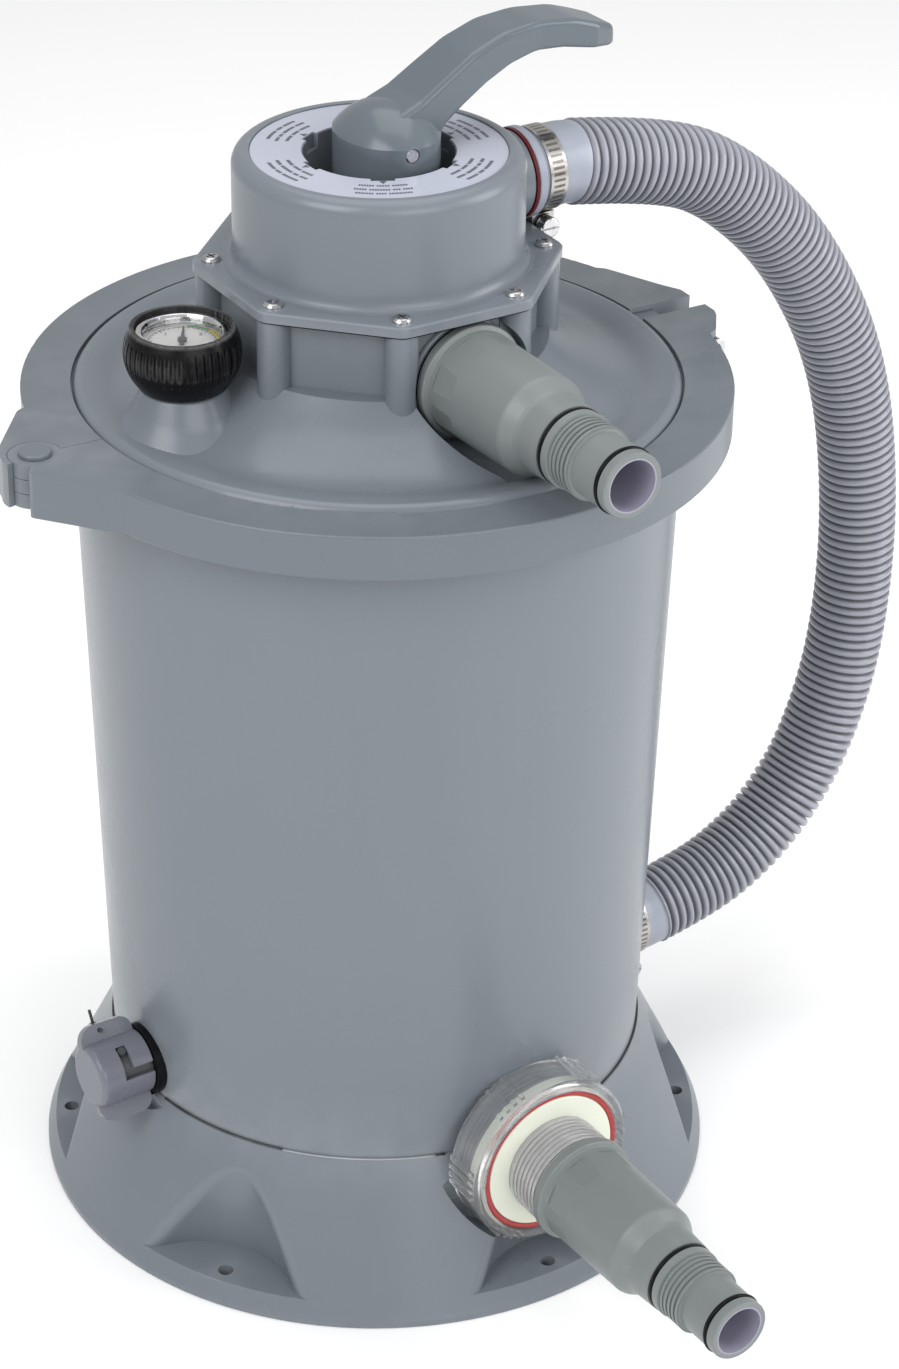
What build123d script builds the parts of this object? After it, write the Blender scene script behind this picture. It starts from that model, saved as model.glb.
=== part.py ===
"""Sand filter tank for a small pool.

Millimetres, +Z up.  The origin is on the tank's axis at floor level.  The hose ports point along +X,
the two adaptors for the pool hoses along -Y, the gauge and the drain lie on the -X side.
"""
from build123d import *
import os
from math import cos, pi, radians, sin, tan

# ---------------------------------------------------------------- driving dimensions
WALL = 4.0
SEAM_Z = 79.0
SKIRT_FOOT_R = 180.0
SKIRT_WALL = 3.0
SHELL_FOOT_R = 141.5
SHELL_TOP_R = 150.95
FLANGE_Z = 433.5
FLANGE_R = 164.0
FLANGE_H = 8.5
FLOOR_Z = 106.0
SEAL_H = 1.0

FOOT_COUNT = 6
LEDGE_Z = 12.0
LEDGE_ALCOVE_R = 51.5
ALCOVE_TOP_R = 14.0
ALCOVE_TOP_Z = 76.0
ALCOVE_DEPTH_R = 147.0
ALCOVE_EDGE = 8.0
FOOT_BOSS_R = 8.0
FOOT_HOLE_R = 4.0
FOOT_BOLT_R = 167.0

CLAMP_R = 175.0
CLAMP_Z0 = 430.7
CLAMP_Z1 = 453.1
CLAMP_TURN = -4.0
CLAMP_LIP_R = 150.6
HINGE_X, HINGE_Y = -185.0, -4.0
KNUCKLE_R = 13.0
BOLT_X = 177.0
BOLT_Z = 442.0
HEAD_SEAT_Y = -28.0
NUT_SEAT_Y = 16.5
BOLT_R = 2.6

LID_TOP_Z = 511.0
SEAT_Z = 496.0
OCTAGON_TURN = 20.0
SCREW_CIRCLE_R = 81.0
COVER_GASKET_H = 1.0
COVER_FLANGE_H = 5.0
DRUM_R = 70.6
DRUM_TOP_Z = 570.3
LABEL_Z = 569.0
LABEL_R = 61.6
WELL_R = 36.5
WELL_FLOOR_Z = 545.0
STEM_R = 10.0
PIN_Z = 576.0
PIN_R = 3.5
HUB_X = 4.0
HUB_FOOT_Z = 552.0
LEVER_EDGE = 3.0
STEM_TOP_Z = 581.0
FIT = 0.05
GAP = 0.3

TOP_PORT_Z = 481.0
BOTTOM_PORT_Z = 77.3
TOP_ADAPTOR_AT = 77.5
BOTTOM_ADAPTOR_AT = 191.3
ADAPTOR_LENGTH = 133.0
ADAPTOR_BORE_R = 12.5
ADAPTOR_SOCKET = 14.0
NIPPLE_R = 21.8
PORT_BOSS_R = 29.6
TROUGH_END = 134.0
HOSE_TAIL_R = 16.0

UPPER_HOSE_Z = 541.5
LOWER_HOSE_Z = 72.0
UPPER_HOSE_AT = 77.0
LOWER_HOSE_AT = 151.0
HOSE_R = 21.5
HOSE_WALL = 4.0
CUFF_R = 20.5
CUFF_BEND = 30.0
TAIL_R = 16.2

DRAIN_Z = 95.0
DRAIN_CAP_AT = 146.0
DRAIN_CAP_LENGTH = 30.0
DRAIN_CAP_R = 17.0
DRAIN_TURN = 45.0
DRAIN_TILT = 30.0

GAUGE_X = -109.5
GAUGE_Y = 0.0
GAUGE_BASE_Z = 474.5
BOOT_RIBS = 44

SAND_TOP_Z = 300.0
SAND_GAP = 0.4
STANDPIPE_R = 15.0
LATERAL_R = 8.0
LATERAL_Z = 124.0

# The hose's route in the XZ plane, from the upper cuff to the lower one.
HOSE_ROUTE = [
    (111, 0, 540.6),
    (169.5, 0, 530.6),
    (213, 0, 508),
    (262, 0, 460),
    (303, 0, 386),
    (319.5, 0, 295),
    (317.5, 0, 208),
    (299, 0, 146),
    (272, 0, 109),
    (243, 0, 88),
    (213, 0, 77.5),
    (184, 0, 73.2),
]

FLANGE_TOP_Z = FLANGE_Z + FLANGE_H
COVER_Z = LID_TOP_Z + COVER_GASKET_H
COVER_TOP_OF_FLANGE = COVER_Z + COVER_FLANGE_H
FOOT_ANGLES = [-90 + 360 / FOOT_COUNT * i for i in range(FOOT_COUNT)]
SCREW_ANGLES = [OCTAGON_TURN + 45 * i for i in range(8)]


# ---------------------------------------------------------------- helpers
def turned(*corners):
    """Solid of revolution about Z; a corner is (radius, height) or (radius, height, rounding)."""
    points = [(c[0], 0, c[1]) for c in corners]
    rounding = [c[2] if len(c) > 2 else 0 for c in corners]
    outline = FilletPolyline(*points, radius=rounding, close=True)
    return revolve(make_face(outline), Axis.Z)


def ring(inner, outer, low, high):
    return turned((inner, low), (outer, low), (outer, high), (inner, high))


def rod(radius, low, high):
    return turned((0, low), (radius, low), (radius, high), (0, high))


def torus_ring(outer, thickness, height):
    """O-ring whose outer radius is given, centred at a height."""
    return Pos(0, 0, height) * Torus(outer - thickness / 2, thickness / 2)


def box(x0, x1, y0, y1, z0, z1):
    return Pos((x0 + x1) / 2, (y0 + y1) / 2, (z0 + z1) / 2) * Box(abs(x1 - x0), abs(y1 - y0), abs(z1 - z0))


def slab(corners, z0, z1):
    """Upright prism; a corner is (x, y) or (x, y, rounding)."""
    points = [(c[0], c[1], z0) for c in corners]
    rounding = [c[2] if len(c) > 2 else 0 for c in corners]
    return extrude(make_face(FilletPolyline(*points, radius=rounding, close=True)), z1 - z0, (0, 0, 1))


def facing(azimuth, height):
    """Place a piece built along +Z so that it points outwards at an azimuth, from the tank's axis."""
    angle = radians(azimuth)
    outward = (cos(angle), sin(angle), 0)
    return Plane(origin=(0, 0, height), x_dir=(-sin(angle), cos(angle), 0), z_dir=outward).location


def around(shape, angles):
    return [Rot(0, 0, angle) * shape for angle in angles]


def joined(pieces):
    result = pieces[0]
    for piece in pieces[1:]:
        result = result + piece
    return result


def octagon_of_discs(radius, low, high):
    """Plate with a rounded corner at each screw."""
    discs = [Pos(SCREW_CIRCLE_R * cos(radians(a)), SCREW_CIRCLE_R * sin(radians(a))) * Circle(radius)
             for a in SCREW_ANGLES]
    outline = make_hull([disc.edge() for disc in discs])
    return Pos(0, 0, low) * extrude(outline, high - low)


def shell_radius(height):
    slope = (SHELL_TOP_R - SHELL_FOOT_R) / (FLANGE_Z - SEAM_Z)
    return SHELL_FOOT_R + slope * (height - SEAM_Z)


# ---------------------------------------------------------------- base and tank
def alcove(grow):
    """Scallop over one bolt foot: wide at the ledge, fading out below the seam."""
    wide = Plane((ALCOVE_DEPTH_R + LEDGE_ALCOVE_R, 0, LEDGE_Z - grow)) * Circle(LEDGE_ALCOVE_R + grow)
    narrow = Plane((ALCOVE_DEPTH_R + 3 + ALCOVE_TOP_R, 0, ALCOVE_TOP_Z)) * Circle(ALCOVE_TOP_R + grow)
    return loft([wide, narrow])


def softened_alcove(body):
    """The scallop with a rounded rim, as the piece that it takes out of the skirt."""
    scooped = body - alcove(0)
    curved = [edge for edge in scooped.edges() if edge.geom_type != GeomType.LINE]
    rim = [edge for edge in curved if LEDGE_Z + 2 < edge.center().Z < SEAM_Z - 4]
    return body - fillet(rim, ALCOVE_EDGE)


def skirt_envelope(shrink):
    """The skirt's outer form drawn in by a wall thickness, with the scallops and port pockets cut out."""
    foot = SKIRT_FOOT_R - shrink
    body = turned((0, 0), (foot, 0), (foot, 3), (176.5 - shrink, 10, 6), (142.2 - shrink, SEAM_Z), (0, SEAM_Z))
    scallop = alcove(shrink) if shrink else softened_alcove(body)
    for piece in around(scallop, FOOT_ANGLES):
        body = body - piece
    union_pocket = facing(-90, BOTTOM_PORT_Z) * rod(51 + shrink, 141 - shrink, 200)
    drain_pocket = facing(180, DRAIN_Z) * rod(27.5 + shrink, 143 - shrink, 200)
    return body - union_pocket - drain_pocket


def make_base_skirt():
    cavity = skirt_envelope(SKIRT_WALL)
    skirt = skirt_envelope(0) - cavity
    shelf = ring(133.5, 141, 72, 76) + ring(133.5, 137.2, 72, 90)
    rim = ring(172, SKIRT_FOOT_R, 0, 3)
    union_clear = facing(-90, BOTTOM_PORT_Z) * rod(27.4, 90, 200)
    hose_clear = facing(0, LOWER_HOSE_Z) * rod(27.5, 90, 200) + box(140, 200, -18, 12, 38, 60)
    drain_clear = facing(180, DRAIN_Z) * rod(15, 90, 200)
    union_pocket = facing(-90, BOTTOM_PORT_Z) * rod(51, 141, 200)
    bolt_boss = Pos(FOOT_BOLT_R, 0, 0) * rod(FOOT_BOSS_R, 0, LEDGE_Z - 1)
    bolt_hole = Pos(FOOT_BOLT_R, 0, 0) * rod(FOOT_HOLE_R, -1, LEDGE_Z + 20)
    skirt = skirt + shelf + rim + around(bolt_boss, FOOT_ANGLES)
    skirt = skirt - union_clear - hose_clear - drain_clear - union_pocket
    return skirt - around(bolt_hole, FOOT_ANGLES)


def make_tank_shell():
    inside_top = SHELL_TOP_R - WALL
    body = turned(
        (shell_radius(SEAM_Z) - WALL, SEAM_Z), (SHELL_FOOT_R, SEAM_Z),
        (SHELL_TOP_R, FLANGE_Z), (FLANGE_R, FLANGE_Z), (FLANGE_R, FLANGE_TOP_Z), (inside_top, FLANGE_TOP_Z),
        (shell_radius(FLOOR_Z + WALL) - WALL, FLOOR_Z + WALL, 3), (0, FLOOR_Z + WALL), (0, FLOOR_Z),
        (shell_radius(FLOOR_Z) - WALL, FLOOR_Z))
    union_clear = facing(-90, BOTTOM_PORT_Z) * rod(27.4, 90, 200)
    hose_clear = facing(0, LOWER_HOSE_Z) * rod(22.4, 90, 200)
    drain_clear = facing(180, DRAIN_Z) * rod(14.4, 90, 200)
    floor_drain = Pos(-116, 0, 0) * rod(9, FLOOR_Z - 1, FLOOR_Z + WALL + 1)
    return body - union_clear - hose_clear - drain_clear - floor_drain


def make_sand_bed():
    low = FLOOR_Z + WALL
    bed = turned((0, low), (shell_radius(low) - WALL - 4, low), (shell_radius(low + 8) - WALL - SAND_GAP, low + 8),
                 (shell_radius(SAND_TOP_Z) - WALL - SAND_GAP, SAND_TOP_Z), (0, SAND_TOP_Z))
    hub_room = rod(28.2, low - 1, 152)
    pipe_room = rod(STANDPIPE_R + 0.2, 150, SAND_TOP_Z + 1)
    lateral_room = facing(0, LATERAL_Z) * rod(LATERAL_R + 0.2, 20, 119)
    return bed - hub_room - pipe_room - around(lateral_room, SCREW_ANGLES)


def make_lateral_hub():
    hub = turned((0, 110), (28, 110), (28, 136, 4), (20, 142), (20, 152), (0, 152))
    socket = rod(STANDPIPE_R + FIT, 136, 153)
    lateral_bore = facing(0, LATERAL_Z) * rod(LATERAL_R + FIT, 16, 40)
    core = rod(12, 118, 140)
    return hub - socket - core - around(lateral_bore, SCREW_ANGLES)


def make_laterals():
    """Eight slotted collector fingers, closed at the outer end."""
    finger = rod(LATERAL_R, 17, 118) - rod(LATERAL_R - 1.8, 16, 115)
    slots = [box(-LATERAL_R, LATERAL_R, 3, LATERAL_R + 1, z, z + 1.2) for z in range(40, 112, 6)]
    finger = finger - slots
    return [Rot(0, 0, angle) * (facing(0, LATERAL_Z) * finger) for angle in SCREW_ANGLES]


def make_standpipe():
    return ring(STANDPIPE_R - 2.5, STANDPIPE_R, 136.2, 476)


def make_diffuser():
    dish = turned((15.1, 420), (60, 416), (62, 418), (62, 424), (58, 424), (57, 420), (19, 424), (19, 434),
                  (15.1, 434))
    hole = Pos(40, 0, 400) * Cylinder(3.5, 80)
    return dish - around(hole, [20 * i for i in range(18)])


# ---------------------------------------------------------------- lid and its band clamp
def make_lid_seal():
    return ring(149, 158, FLANGE_TOP_Z, FLANGE_TOP_Z + SEAL_H)


def lid_dome_form():
    """Flange, rounded shoulder inside the clamp's lip, and a bell that rises to the valve housing."""
    low = FLANGE_TOP_Z + SEAL_H
    bell = Spline((143.5, 0, 455), (128, 0, 452.6), (108, 0, 459), (83.5, 0, 477),
                  tangents=[(-1, 0, 0.02), (-1, 0, 1)])
    outline = [
        Line((0, 0, low), (FLANGE_R, 0, low)),
        Line((FLANGE_R, 0, low), (FLANGE_R, 0, 450)),
        Line((FLANGE_R, 0, 450), (149.6, 0, 450)),
        Line((149.6, 0, 450), (149.6, 0, 451)),
        ThreePointArc((149.6, 0, 451), (147.5, 0, 454.1), (143.5, 0, 455)),
        bell,
        Line((83.5, 0, 477), (0, 0, 477)),
        Line((0, 0, 477), (0, 0, low)),
    ]
    return revolve(make_face(outline), Axis.Z)


def make_lid_dome():
    low = FLANGE_TOP_Z + SEAL_H
    dome = lid_dome_form()
    underside = turned((0, low - 1), (144.5, low - 1), (144.5, 448, 3), (128, 447.5, 20), (106, 455, 10),
                       (90, 463, 4), (0, 463))
    box_walls = Pos(0, 0, 465) * extrude(RegularPolygon(80, 8, rotation=OCTAGON_TURN), LID_TOP_Z - 465)
    corner = Pos(SCREW_CIRCLE_R, 0, 0) * rod(8, 465, LID_TOP_Z)
    boss = turned((0, 50), (PORT_BOSS_R, 50), (PORT_BOSS_R, 75.5, 2), (0, 75.5))
    trough = rod(PORT_BOSS_R + 1.5, 75.5, TROUGH_END)
    trough_wall = rod(PORT_BOSS_R + 4.5, 60, TROUGH_END + 3)
    gauge_boss = at_gauge(turned((0, -24), (34, -24), (26, -13, 25), (20, -1, 2), (0, -1)))
    nipple = rod(NIPPLE_R, 60, TOP_ADAPTOR_AT + ADAPTOR_SOCKET - 1)
    ports = [facing(side, TOP_PORT_Z) for side in (-90, 90)]
    lid = dome - underside + box_walls + around(corner, SCREW_ANGLES) + gauge_boss
    for port in ports:
        lid = lid + (port * trough_wall & dome) + port * boss - port * trough + port * nipple

    chamber = rod(60, SEAT_Z, LID_TOP_Z + 1)
    pipe_socket = rod(STANDPIPE_R + FIT, 440, 476.2)
    pipe_bore = rod(11, 470, SEAT_Z + 1)
    tank_way = Pos(34, 0, 0) * rod(10, 440, SEAT_Z + 1)
    side_ways = [port * rod(ADAPTOR_BORE_R, 26, 120) for port in ports]
    seat_holes = [Pos(0, side * 34, 0) * rod(10, TOP_PORT_Z, SEAT_Z + 1) for side in (-1, 1)]
    core_outs = [Pos(40 * x, 40 * y, 0) * rod(15, 440, 488) for x in (-1, 1) for y in (-1, 1)]
    core_outs.append(Pos(-46, 0, 0) * rod(13, 440, 488))
    pilots = around(Pos(SCREW_CIRCLE_R, 0, 0) * rod(2, 498, LID_TOP_Z + 1), SCREW_ANGLES)
    gauge_tap = at_gauge(rod(5, -30, 1) + rod(10.5, -6, 1))
    cuts = [chamber, pipe_socket, pipe_bore, tank_way, gauge_tap, *side_ways, *seat_holes, *core_outs, *pilots]
    for cut in cuts:
        lid = lid - cut
    return lid


def clamp_profile():
    """Band with a channel that traps both flanges."""
    channel_low = FLANGE_Z - 0.4
    channel_high = 450.4
    return turned(
        (151.6, CLAMP_Z0), (CLAMP_R, CLAMP_Z0, 1.2), (CLAMP_R, CLAMP_Z1, 1.0), (CLAMP_LIP_R, CLAMP_Z1),
        (CLAMP_LIP_R, channel_high), (FLANGE_R + 0.5, channel_high), (FLANGE_R + 0.5, channel_low),
        (151.6, channel_low))


def hinge_rod(radius, low, high):
    return Pos(HINGE_X, HINGE_Y, 0) * rod(radius, low, high)


def clamp_ears(front):
    """Ears of one half, at the bolt and at the hinge, without their bores."""
    if front:
        bolt_ear = [(150, -5.2), (188, -5.2), (188, -14, 3), (186, -19, 4), (176, -34, 6), (155, -44)]
        hinge_ear = [(-150, HINGE_Y - 0.2), (HINGE_X, HINGE_Y - 0.2), (-196.5, -22, 3), (-161, -62.5, 8),
                     (-140, -60)]
    else:
        bolt_ear = [(150, 7.5), (187, 7.5), (187, 16, 3), (181, 27, 5), (165, 62, 10), (140, 60)]
        hinge_ear = [(-150, HINGE_Y + 0.2), (HINGE_X, HINGE_Y + 0.2), (-200, 2), (-199, 8, 3), (-173, 44, 8),
                     (-140, 50)]
    bore = rod(166, CLAMP_Z0 - 1, CLAMP_Z1 + 1)
    bolt_part = slab(bolt_ear, CLAMP_Z0, CLAMP_Z1)
    hinge_part = slab(hinge_ear, CLAMP_Z0, CLAMP_Z1)
    return bolt_part - bore, hinge_part - bore


def make_clamp_half(front):
    side = -1 if front else 1
    bolt_ear, hinge_ear = clamp_ears(front)
    near = 5.2 if front else 7.5
    half = clamp_profile()
    keep_bolt_side = box(0, 200, 0, side * 200, CLAMP_Z0 - 1, CLAMP_Z1 + 1)
    keep_hinge_side = box(-200, 0, HINGE_Y + side * 0.2, side * 220, CLAMP_Z0 - 1, CLAMP_Z1 + 1)
    slot = box(100, 200, -side, side * near, CLAMP_Z0 - 1, CLAMP_Z1 + 1)
    half = (half & (keep_bolt_side + keep_hinge_side)) - slot

    third = (CLAMP_Z1 - CLAMP_Z0) / 3
    middle = hinge_rod(KNUCKLE_R + GAP, CLAMP_Z0 + third - 0.15, CLAMP_Z1 - third + 0.15)
    outer_parts = hinge_rod(KNUCKLE_R + GAP, CLAMP_Z0 - 1, CLAMP_Z1 + 1) - middle
    if front:
        knuckle = hinge_rod(KNUCKLE_R, CLAMP_Z0, CLAMP_Z1) - middle
        cleared = (half + hinge_ear) - middle
        wrap = None
    else:
        knuckle = hinge_rod(KNUCKLE_R, CLAMP_Z0 + third + 0.15, CLAMP_Z1 - third - 0.15)
        cleared = (half + hinge_ear) - outer_parts
        wrap = hinge_rod(KNUCKLE_R + 3.4, CLAMP_Z0, CLAMP_Z1)
        wrap = wrap - hinge_rod(KNUCKLE_R + GAP, CLAMP_Z0 - 1, CLAMP_Z1 + 1)
        wrap_reach = [(HINGE_X, HINGE_Y), (-215, HINGE_Y - 8), (-215, 20), (HINGE_X, 20)]
        wrap = wrap & slab(wrap_reach, CLAMP_Z0, CLAMP_Z1)
    half = cleared + knuckle + bolt_ear
    if wrap is not None:
        half = half + wrap
    half = half - hinge_rod(4 + FIT, CLAMP_Z0 - 1, CLAMP_Z1 + 1)

    bolt_line = Pos(BOLT_X, 0, BOLT_Z) * Rot(-90, 0, 0)
    if front:
        pocket_plan = [(-190, -24, 2), (-164, -56, 3), (-158, -48, 3), (-176, -22, 3)]
        pocket = slab(pocket_plan, CLAMP_Z0 + 5, CLAMP_Z1 - 3.5)
        head_seat = bolt_line * rod(7.2, -80, HEAD_SEAT_Y)
        bolt_bore = bolt_line * rod(BOLT_R + 0.8, -60, 0)
        cuts = [pocket, head_seat, bolt_bore]
    else:
        nut_seat = bolt_line * (Pos(0, 0, NUT_SEAT_Y) * extrude(RegularPolygon(6.2, 6), 60))
        bolt_bore = bolt_line * rod(BOLT_R + 1.3, 0, 60)
        cuts = [nut_seat, bolt_bore]
    for cut in cuts:
        half = half - cut
    return Rot(0, 0, CLAMP_TURN) * half


def make_clamp_hinge_pin():
    pin = hinge_rod(4, CLAMP_Z0 - 2, CLAMP_Z1 + 0.5)
    cap = turned((0, CLAMP_Z1 + GAP), (8, CLAMP_Z1 + GAP), (8, CLAMP_Z1 + 2.3, 1), (0, CLAMP_Z1 + 2.3))
    cap = Pos(HINGE_X, HINGE_Y, 0) * cap
    foot = Pos(HINGE_X, HINGE_Y, 0) * rod(5.5, CLAMP_Z0 - 3, CLAMP_Z0 - GAP)
    return Rot(0, 0, CLAMP_TURN) * (pin + cap + foot)


def along_bolt(shape, y):
    """Place a piece built along +Z on the clamp bolt's axis, pointing to +Y, starting at y."""
    return Rot(0, 0, CLAMP_TURN) * (Pos(BOLT_X, y, BOLT_Z) * (Rot(-90, 0, 0) * shape))


def make_clamp_bolt():
    """Socket-head bolt; its head bears on the front ear, its tip reaches through the nut."""
    head = turned((0, 0), (5.2, 0, 0.6), (5.2, 6), (0, 6))
    socket = extrude(RegularPolygon(2.9, 6), 3)
    shank = rod(BOLT_R, 5, 57)
    return along_bolt(head - socket + shank, HEAD_SEAT_Y - 6.3)


def make_clamp_nut():
    nut = extrude(RegularPolygon(6.0, 6), 5) - rod(BOLT_R + 0.8, -1, 6)
    return along_bolt(nut, NUT_SEAT_Y + 0.1)


# ---------------------------------------------------------------- valve
def make_cover_gasket():
    plate = octagon_of_discs(8, LID_TOP_Z, COVER_Z)
    screw_hole = Pos(SCREW_CIRCLE_R, 0, 0) * rod(2.3, LID_TOP_Z - 1, COVER_Z + 1)
    return plate - rod(61, LID_TOP_Z - 1, COVER_Z + 1) - around(screw_hole, SCREW_ANGLES)


def make_valve_cover():
    flange = octagon_of_discs(9, COVER_Z, COVER_TOP_OF_FLANGE)
    flange = chamfer(flange.edges().group_by(Axis.Z)[-1], 0.8)
    drum = turned((0, COVER_Z), (DRUM_R + 5, COVER_Z), (DRUM_R + 5, COVER_TOP_OF_FLANGE + 0.2),
                  (DRUM_R + 1.5, COVER_TOP_OF_FLANGE + 0.6, 2.5), (DRUM_R, COVER_TOP_OF_FLANGE + 4, 8),
                  (DRUM_R, DRUM_TOP_Z, 7), (LABEL_R + 0.4, DRUM_TOP_Z, 0.5), (LABEL_R + 0.3, LABEL_Z), (0, LABEL_Z))
    spigot = facing(0, UPPER_HOSE_Z) * turned((0, 55), (22, 55), (22, UPPER_HOSE_AT, 1), (0, UPPER_HOSE_AT))
    cover = flange + drum + spigot

    cavity = turned((40, COVER_Z - 1), (61, COVER_Z - 1), (66, COVER_Z + 8), (66, 562, 5), (40, 562))
    cavity = cavity + turned((14, COVER_Z - 1), (41, COVER_Z - 1), (41, 541), (14, 541))
    bore = rod(STEM_R + FIT, 500, 560)
    under_boss = turned((0, COVER_Z - 1), (15, COVER_Z - 1), (15, 530), (0, 530))
    well = turned((0, WELL_FLOOR_Z), (WELL_R, WELL_FLOOR_Z, 2), (WELL_R, LABEL_Z + 5), (0, LABEL_Z + 5))
    notch = box(WELL_R - 3, WELL_R + 2.2, -5.5, 5.5, LABEL_Z - 7, LABEL_Z + 5)
    port = facing(0, UPPER_HOSE_Z) * rod(14, 60, 100)
    holes = around(Pos(SCREW_CIRCLE_R, 0, 0) * rod(2.3, COVER_Z - 1, COVER_TOP_OF_FLANGE + 1), SCREW_ANGLES)
    for cut in [cavity, under_boss, bore, well, port, *holes, *around(notch, [60 * i for i in range(6)])]:
        cover = cover - cut
    return cover


def make_cover_screws():
    """Eight pan-head screws with a cross recess."""
    z = COVER_TOP_OF_FLANGE
    head = turned((0, z), (4.8, z), (4.8, z + 0.8), (3.6, z + 2.2, 1.5), (0, z + 2.4))
    cross = box(-2.6, 2.6, -0.5, 0.5, z + 1.2, z + 3) + box(-0.5, 0.5, -2.6, 2.6, z + 1.2, z + 3)
    screw = Rot(0, 0, 30) * (head - cross) + rod(1.95, 499, z + 0.1)
    return around(Pos(SCREW_CIRCLE_R, 0, 0) * screw, SCREW_ANGLES)


def make_valve_label():
    notch = box(WELL_R - 3, WELL_R + 2.6, -5.8, 5.8, LABEL_Z - 1, LABEL_Z + 2)
    return ring(WELL_R + 0.6, LABEL_R, LABEL_Z, LABEL_Z + 0.5) - around(notch, [60 * i for i in range(6)])


def make_valve_rotor():
    disc = ring(0, 56, SEAT_Z + 1.6, SEAT_Z + 9)
    hub = turned((0, 500), (20, 500), (20, 512), (STEM_R, 512), (STEM_R, STEM_TOP_Z, 1), (0, STEM_TOP_Z))
    ribs = [Rot(0, 0, 60 * i) * box(15, 54, -1.5, 1.5, SEAT_Z + 8, 511) for i in range(6)]
    rotor = joined([disc + hub, *ribs])
    channel = ring(20, 46, SEAT_Z, SEAT_Z + 6) & slab([(0, 0), (80, -80), (80, 80)], SEAT_Z, SEAT_Z + 6)
    grooves = [ring(8.6, STEM_R + 1, z - 0.9, z + 0.9) for z in (534, 538)]
    pin_bore = Pos(0, 0, PIN_Z) * (Rot(90, 0, 0) * Cylinder(PIN_R, 60))
    for cut in [channel, pin_bore, *grooves]:
        rotor = rotor - cut
    return rotor


def make_rotor_gasket():
    """Spoked rubber gasket on the valve's seat, one bay for each port."""
    rims = ring(50, 55, SEAT_Z, SEAT_Z + 1.5) + ring(12, 16, SEAT_Z, SEAT_Z + 1.5)
    spokes = [Rot(0, 0, 30 + 60 * i) * box(14, 52, -1.6, 1.6, SEAT_Z, SEAT_Z + 1.5) for i in range(6)]
    return joined([rims, *spokes])


def make_rotor_spring():
    """Compression spring between the rotor's hub and the cover."""
    wire = 1.2
    low, high = 512.1 + wire, 540.9 - wire
    path = Helix(pitch=(high - low) / 5, height=high - low, radius=17, center=(0, 0, low))
    section = Plane(origin=path @ 0, z_dir=path % 0) * Circle(wire)
    return sweep(section, path=path)


def make_stem_o_rings():
    return [torus_ring(STEM_R, 1.4, z) for z in (534, 538)]


def make_cam_washer():
    return turned((10.6, 545.3), (27.5, 545.3), (27.5, 551.3, 0.8), (10.6, 551.3))


def lever_profile():
    """Side of the lever: out of the hub, up over the rim, then level to the grip."""
    side_view = [
        (0, 560, 1), (0, 590, 5), (14, 595.5, 14), (27, 603.5, 24), (44, 613.5, 30), (62, 620, 30),
        (82, 622, 40), (104, 619.5, 40), (128, 611.5, 5), (130, 600, 3), (112, 603, 24), (97, 606, 24),
        (81, 607, 24), (66, 603.5, 24), (52, 597, 24), (38, 588.5, 24), (27, 580.5, 6), (24, 571, 3), (22, 560, 1)]
    points = [(x, 0, z) for x, z, _ in side_view]
    profile = make_face(FilletPolyline(*points, radius=[r for _, _, r in side_view], close=True))
    return Pos(0, 40, 0) * extrude(profile, 80, dir=(0, -1, 0))


def lever_hub():
    """Domed cam that straddles the stem; its foot is cut back on the lever's side so that it can rock."""
    plan = Pos(HUB_X, 0, HUB_FOOT_Z) * extrude(Ellipse(24, 30), 60)
    dome = Pos(HUB_X, 0, 556.5) * scale(Sphere(1), (30, 38, 37))
    foot_view = [(-20.5, HUB_FOOT_Z), (-22, 600), (32, 600), (29, 567), (21, HUB_FOOT_Z)]
    foot = make_face(Polyline(*[(x, 0, z) for x, z in foot_view], close=True))
    foot = Pos(0, 40, 0) * extrude(foot, 80, dir=(0, -1, 0))
    return plan & dome & foot


def make_valve_handle():
    """Lever with a broad cam foot that straddles the stem and a hand grip that levels off outwards."""
    half_plan = [(84, 13.5, 60), (116, 14.5, 6), (130, 10.5, 7)]
    other_half = [(x, -y, r) for x, y, r in half_plan]
    plan = slab([(-1, -17), *other_half, *reversed(half_plan), (-1, 17)], 540, 640)
    lever = lever_profile() & plan
    crown = [edge for edge in lever.edges() if edge.center().X > 30 and abs(edge.center().Y) > 5]
    handle = lever_hub() + fillet(crown, LEVER_EDGE)
    stem_slot = rod(STEM_R + 1.3, 545, 584.2) + box(0, 18, -STEM_R - 0.4, STEM_R + 0.4, 545, 577)
    pin_bore = Pos(0, 0, PIN_Z) * (Rot(90, 0, 0) * Cylinder(PIN_R + FIT, 80))
    return handle - stem_slot - pin_bore


def make_handle_pin():
    return Pos(0, 0, PIN_Z) * (Rot(90, 0, 0) * chamfer(Cylinder(PIN_R, 59).edges(), 0.5))


# ---------------------------------------------------------------- pressure gauge
def at_gauge(shape):
    return Pos(GAUGE_X, GAUGE_Y, GAUGE_BASE_Z) * shape


def make_gauge_stem():
    nut = extrude(RegularPolygon(9, 6), 5)
    stem = rod(4.9, -20, 3) + Pos(0, 0, -5.5) * nut
    return at_gauge(stem - rod(2, -25, 4))


def make_gauge_case():
    return at_gauge(turned((0, 3), (21, 3), (22.5, 6, 2), (22.5, 25), (20.6, 25), (20.6, 8), (0, 8)))


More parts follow.
